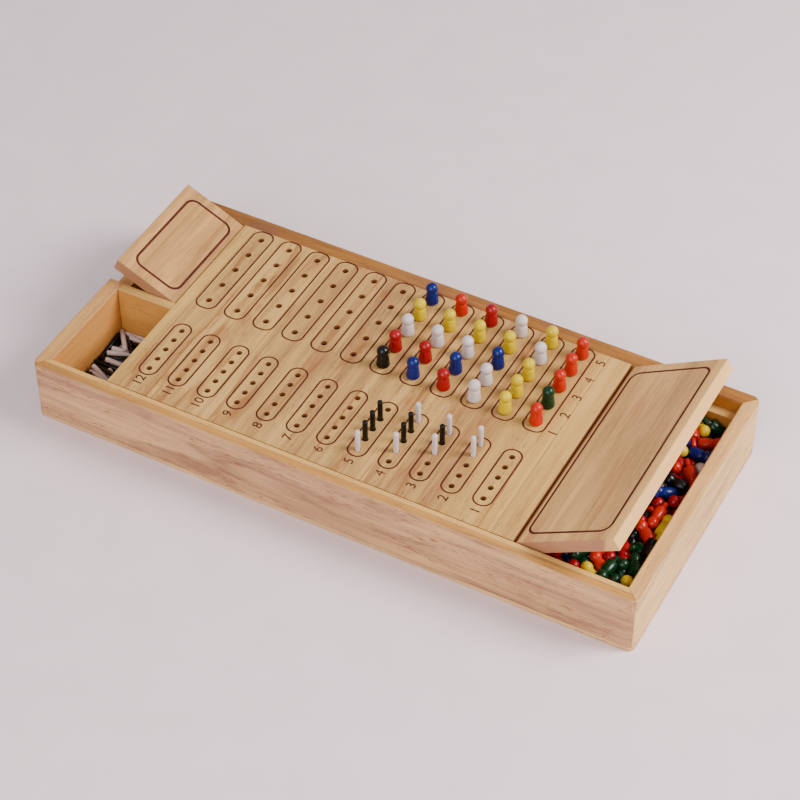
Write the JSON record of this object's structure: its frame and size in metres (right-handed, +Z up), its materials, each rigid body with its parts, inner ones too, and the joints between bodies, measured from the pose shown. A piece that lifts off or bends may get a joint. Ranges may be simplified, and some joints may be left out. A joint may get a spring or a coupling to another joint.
{
  "type": "code breaking peg game",
  "caption": "Wooden code breaking peg game: a shallow mitred box with a drilled pegboard, two hinged bay lids, and coloured pawns and scoring pins in its holes.",
  "frame": {"origin": "under the middle of the frame, on the surface that it stands on", "axes": "+X along the frame from the code end to the storage end, +Y across it from the scoring side to the code side, +Z up"},
  "size_m": [0.39, 0.176, 0.0732],
  "materials": {
    "frame_wood": "satin",
    "board_wood": "satin",
    "base_wood": "plain",
    "steel_rod": "plain",
    "lacquer_orange": "gloss lacquer",
    "lacquer_red": "gloss lacquer",
    "lacquer_yellow": "gloss lacquer",
    "lacquer_green": "gloss lacquer",
    "lacquer_blue": "gloss lacquer",
    "lacquer_white": "gloss lacquer",
    "lacquer_black": "gloss lacquer"
  },
  "bodies": {
    "box": {"base_panel": "base_wood", "near_long_rail": "frame_wood", "far_long_rail": "frame_wood", "storage_end_rail": "frame_wood", "code_end_rail": "frame_wood", "pegboard": "board_wood", "storage_wall": "frame_wood", "code_wall": "frame_wood", "bay_partition": "frame_wood", "code_shelf": "board_wood", "near_ledge": "base_wood", "far_ledge": "base_wood", "storage_hinge_rod": "steel_rod", "code_hinge_rod": "steel_rod"},
    "storage_lid": {"storage_lid": "frame_wood"},
    "code_lid": {"code_lid": "frame_wood"},
    "code_pawn_r1_c1_orange": {"code_pawn_r1_c1_orange": "lacquer_orange"},
    "code_pawn_r1_c2_green": {"code_pawn_r1_c2_green": "lacquer_green"},
    "code_pawn_r1_c3_orange": {"code_pawn_r1_c3_orange": "lacquer_orange"},
    "code_pawn_r1_c4_orange": {"code_pawn_r1_c4_orange": "lacquer_orange"},
    "code_pawn_r1_c5_orange": {"code_pawn_r1_c5_orange": "lacquer_orange"},
    "code_pawn_r2_c1_yellow": {"code_pawn_r2_c1_yellow": "lacquer_yellow"},
    "code_pawn_r2_c2_yellow": {"code_pawn_r2_c2_yellow": "lacquer_yellow"},
    "code_pawn_r2_c3_yellow": {"code_pawn_r2_c3_yellow": "lacquer_yellow"},
    "code_pawn_r2_c4_white": {"code_pawn_r2_c4_white": "lacquer_white"},
    "code_pawn_r2_c5_yellow": {"code_pawn_r2_c5_yellow": "lacquer_yellow"},
    "code_pawn_r3_c1_white": {"code_pawn_r3_c1_white": "lacquer_white"},
    "code_pawn_r3_c2_white": {"code_pawn_r3_c2_white": "lacquer_white"},
    "code_pawn_r3_c3_blue": {"code_pawn_r3_c3_blue": "lacquer_blue"},
    "code_pawn_r3_c4_yellow": {"code_pawn_r3_c4_yellow": "lacquer_yellow"},
    "code_pawn_r3_c5_white": {"code_pawn_r3_c5_white": "lacquer_white"},
    "code_pawn_r4_c1_red": {"code_pawn_r4_c1_red": "lacquer_red"},
    "code_pawn_r4_c2_blue": {"code_pawn_r4_c2_blue": "lacquer_blue"},
    "code_pawn_r4_c3_white": {"code_pawn_r4_c3_white": "lacquer_white"},
    "code_pawn_r4_c4_yellow": {"code_pawn_r4_c4_yellow": "lacquer_yellow"},
    "code_pawn_r4_c5_red": {"code_pawn_r4_c5_red": "lacquer_red"},
    "code_pawn_r5_c1_blue": {"code_pawn_r5_c1_blue": "lacquer_blue"},
    "code_pawn_r5_c2_red": {"code_pawn_r5_c2_red": "lacquer_red"},
    "code_pawn_r5_c3_white": {"code_pawn_r5_c3_white": "lacquer_white"},
    "code_pawn_r5_c4_yellow": {"code_pawn_r5_c4_yellow": "lacquer_yellow"},
    "code_pawn_r5_c5_orange": {"code_pawn_r5_c5_orange": "lacquer_orange"},
    "code_pawn_r6_c1_black": {"code_pawn_r6_c1_black": "lacquer_black"},
    "code_pawn_r6_c2_red": {"code_pawn_r6_c2_red": "lacquer_red"},
    "code_pawn_r6_c3_white": {"code_pawn_r6_c3_white": "lacquer_white"},
    "code_pawn_r6_c4_yellow": {"code_pawn_r6_c4_yellow": "lacquer_yellow"},
    "code_pawn_r6_c5_blue": {"code_pawn_r6_c5_blue": "lacquer_blue"},
    "score_pin_r2_h1_white": {"score_pin_r2_h1_white": "lacquer_white"},
    "score_pin_r2_h2_white": {"score_pin_r2_h2_white": "lacquer_white"},
    "score_pin_r3_h1_white": {"score_pin_r3_h1_white": "lacquer_white"},
    "score_pin_r3_h2_black": {"score_pin_r3_h2_black": "lacquer_black"},
    "score_pin_r3_h3_white": {"score_pin_r3_h3_white": "lacquer_white"},
    "score_pin_r4_h1_white": {"score_pin_r4_h1_white": "lacquer_white"},
    "score_pin_r4_h2_black": {"score_pin_r4_h2_black": "lacquer_black"},
    "score_pin_r4_h3_black": {"score_pin_r4_h3_black": "lacquer_black"},
    "score_pin_r4_h4_white": {"score_pin_r4_h4_white": "lacquer_white"},
    "score_pin_r5_h2_black": {"score_pin_r5_h2_black": "lacquer_black"},
    "score_pin_r5_h3_black": {"score_pin_r5_h3_black": "lacquer_black"},
    "score_pin_r5_h4_black": {"score_pin_r5_h4_black": "lacquer_black"},
    "score_pin_r5_h5_white": {"score_pin_r5_h5_white": "lacquer_white"}
  },
  "joints": [
    {"name": "storage_lid_hinge", "type": "hinge", "parent": "box", "child": "storage_lid", "pos_m": [0.12125, 0, 0.03775], "axis": [0, -1, 0], "range_deg": [-30, 63]},
    {"name": "code_lid_hinge", "type": "hinge", "parent": "box", "child": "code_lid", "pos_m": [-0.15275, 0.037, 0.03775], "axis": [0, 1, 0], "range_deg": [-25, 68]},
    {"name": "code_pawn_r1_c1_orange_lift", "type": "slide", "parent": "box", "child": "code_pawn_r1_c1_orange", "axis": [0, 0, 1], "range_m": [0, 0.02]},
    {"name": "code_pawn_r1_c2_green_lift", "type": "slide", "parent": "box", "child": "code_pawn_r1_c2_green", "axis": [0, 0, 1], "range_m": [0, 0.02]},
    {"name": "code_pawn_r1_c3_orange_lift", "type": "slide", "parent": "box", "child": "code_pawn_r1_c3_orange", "axis": [0, 0, 1], "range_m": [0, 0.02]},
    {"name": "code_pawn_r1_c4_orange_lift", "type": "slide", "parent": "box", "child": "code_pawn_r1_c4_orange", "axis": [0, 0, 1], "range_m": [0, 0.02]},
    {"name": "code_pawn_r1_c5_orange_lift", "type": "slide", "parent": "box", "child": "code_pawn_r1_c5_orange", "axis": [0, 0, 1], "range_m": [0, 0.02]},
    {"name": "code_pawn_r2_c1_yellow_lift", "type": "slide", "parent": "box", "child": "code_pawn_r2_c1_yellow", "axis": [0, 0, 1], "range_m": [0, 0.02]},
    {"name": "code_pawn_r2_c2_yellow_lift", "type": "slide", "parent": "box", "child": "code_pawn_r2_c2_yellow", "axis": [0, 0, 1], "range_m": [0, 0.02]},
    {"name": "code_pawn_r2_c3_yellow_lift", "type": "slide", "parent": "box", "child": "code_pawn_r2_c3_yellow", "axis": [0, 0, 1], "range_m": [0, 0.02]},
    {"name": "code_pawn_r2_c4_white_lift", "type": "slide", "parent": "box", "child": "code_pawn_r2_c4_white", "axis": [0, 0, 1], "range_m": [0, 0.02]},
    {"name": "code_pawn_r2_c5_yellow_lift", "type": "slide", "parent": "box", "child": "code_pawn_r2_c5_yellow", "axis": [0, 0, 1], "range_m": [0, 0.02]},
    {"name": "code_pawn_r3_c1_white_lift", "type": "slide", "parent": "box", "child": "code_pawn_r3_c1_white", "axis": [0, 0, 1], "range_m": [0, 0.02]},
    {"name": "code_pawn_r3_c2_white_lift", "type": "slide", "parent": "box", "child": "code_pawn_r3_c2_white", "axis": [0, 0, 1], "range_m": [0, 0.02]},
    {"name": "code_pawn_r3_c3_blue_lift", "type": "slide", "parent": "box", "child": "code_pawn_r3_c3_blue", "axis": [0, 0, 1], "range_m": [0, 0.02]},
    {"name": "code_pawn_r3_c4_yellow_lift", "type": "slide", "parent": "box", "child": "code_pawn_r3_c4_yellow", "axis": [0, 0, 1], "range_m": [0, 0.02]},
    {"name": "code_pawn_r3_c5_white_lift", "type": "slide", "parent": "box", "child": "code_pawn_r3_c5_white", "axis": [0, 0, 1], "range_m": [0, 0.02]},
    {"name": "code_pawn_r4_c1_red_lift", "type": "slide", "parent": "box", "child": "code_pawn_r4_c1_red", "axis": [0, 0, 1], "range_m": [0, 0.02]},
    {"name": "code_pawn_r4_c2_blue_lift", "type": "slide", "parent": "box", "child": "code_pawn_r4_c2_blue", "axis": [0, 0, 1], "range_m": [0, 0.02]},
    {"name": "code_pawn_r4_c3_white_lift", "type": "slide", "parent": "box", "child": "code_pawn_r4_c3_white", "axis": [0, 0, 1], "range_m": [0, 0.02]},
    {"name": "code_pawn_r4_c4_yellow_lift", "type": "slide", "parent": "box", "child": "code_pawn_r4_c4_yellow", "axis": [0, 0, 1], "range_m": [0, 0.02]},
    {"name": "code_pawn_r4_c5_red_lift", "type": "slide", "parent": "box", "child": "code_pawn_r4_c5_red", "axis": [0, 0, 1], "range_m": [0, 0.02]},
    {"name": "code_pawn_r5_c1_blue_lift", "type": "slide", "parent": "box", "child": "code_pawn_r5_c1_blue", "axis": [0, 0, 1], "range_m": [0, 0.02]},
    {"name": "code_pawn_r5_c2_red_lift", "type": "slide", "parent": "box", "child": "code_pawn_r5_c2_red", "axis": [0, 0, 1], "range_m": [0, 0.02]},
    {"name": "code_pawn_r5_c3_white_lift", "type": "slide", "parent": "box", "child": "code_pawn_r5_c3_white", "axis": [0, 0, 1], "range_m": [0, 0.02]},
    {"name": "code_pawn_r5_c4_yellow_lift", "type": "slide", "parent": "box", "child": "code_pawn_r5_c4_yellow", "axis": [0, 0, 1], "range_m": [0, 0.02]},
    {"name": "code_pawn_r5_c5_orange_lift", "type": "slide", "parent": "box", "child": "code_pawn_r5_c5_orange", "axis": [0, 0, 1], "range_m": [0, 0.02]},
    {"name": "code_pawn_r6_c1_black_lift", "type": "slide", "parent": "box", "child": "code_pawn_r6_c1_black", "axis": [0, 0, 1], "range_m": [0, 0.02]},
    {"name": "code_pawn_r6_c2_red_lift", "type": "slide", "parent": "box", "child": "code_pawn_r6_c2_red", "axis": [0, 0, 1], "range_m": [0, 0.02]},
    {"name": "code_pawn_r6_c3_white_lift", "type": "slide", "parent": "box", "child": "code_pawn_r6_c3_white", "axis": [0, 0, 1], "range_m": [0, 0.02]},
    {"name": "code_pawn_r6_c4_yellow_lift", "type": "slide", "parent": "box", "child": "code_pawn_r6_c4_yellow", "axis": [0, 0, 1], "range_m": [0, 0.02]},
    {"name": "code_pawn_r6_c5_blue_lift", "type": "slide", "parent": "box", "child": "code_pawn_r6_c5_blue", "axis": [0, 0, 1], "range_m": [0, 0.02]},
    {"name": "score_pin_r2_h1_white_lift", "type": "slide", "parent": "box", "child": "score_pin_r2_h1_white", "axis": [0, 0, 1], "range_m": [0, 0.025]},
    {"name": "score_pin_r2_h2_white_lift", "type": "slide", "parent": "box", "child": "score_pin_r2_h2_white", "axis": [0, 0, 1], "range_m": [0, 0.025]},
    {"name": "score_pin_r3_h1_white_lift", "type": "slide", "parent": "box", "child": "score_pin_r3_h1_white", "axis": [0, 0, 1], "range_m": [0, 0.025]},
    {"name": "score_pin_r3_h2_black_lift", "type": "slide", "parent": "box", "child": "score_pin_r3_h2_black", "axis": [0, 0, 1], "range_m": [0, 0.025]},
    {"name": "score_pin_r3_h3_white_lift", "type": "slide", "parent": "box", "child": "score_pin_r3_h3_white", "axis": [0, 0, 1], "range_m": [0, 0.025]},
    {"name": "score_pin_r4_h1_white_lift", "type": "slide", "parent": "box", "child": "score_pin_r4_h1_white", "axis": [0, 0, 1], "range_m": [0, 0.025]},
    {"name": "score_pin_r4_h2_black_lift", "type": "slide", "parent": "box", "child": "score_pin_r4_h2_black", "axis": [0, 0, 1], "range_m": [0, 0.025]},
    {"name": "score_pin_r4_h3_black_lift", "type": "slide", "parent": "box", "child": "score_pin_r4_h3_black", "axis": [0, 0, 1], "range_m": [0, 0.025]},
    {"name": "score_pin_r4_h4_white_lift", "type": "slide", "parent": "box", "child": "score_pin_r4_h4_white", "axis": [0, 0, 1], "range_m": [0, 0.025]},
    {"name": "score_pin_r5_h2_black_lift", "type": "slide", "parent": "box", "child": "score_pin_r5_h2_black", "axis": [0, 0, 1], "range_m": [0, 0.025]},
    {"name": "score_pin_r5_h3_black_lift", "type": "slide", "parent": "box", "child": "score_pin_r5_h3_black", "axis": [0, 0, 1], "range_m": [0, 0.025]},
    {"name": "score_pin_r5_h4_black_lift", "type": "slide", "parent": "box", "child": "score_pin_r5_h4_black", "axis": [0, 0, 1], "range_m": [0, 0.025]},
    {"name": "score_pin_r5_h5_white_lift", "type": "slide", "parent": "box", "child": "score_pin_r5_h5_white", "axis": [0, 0, 1], "range_m": [0, 0.025]}
  ]
}
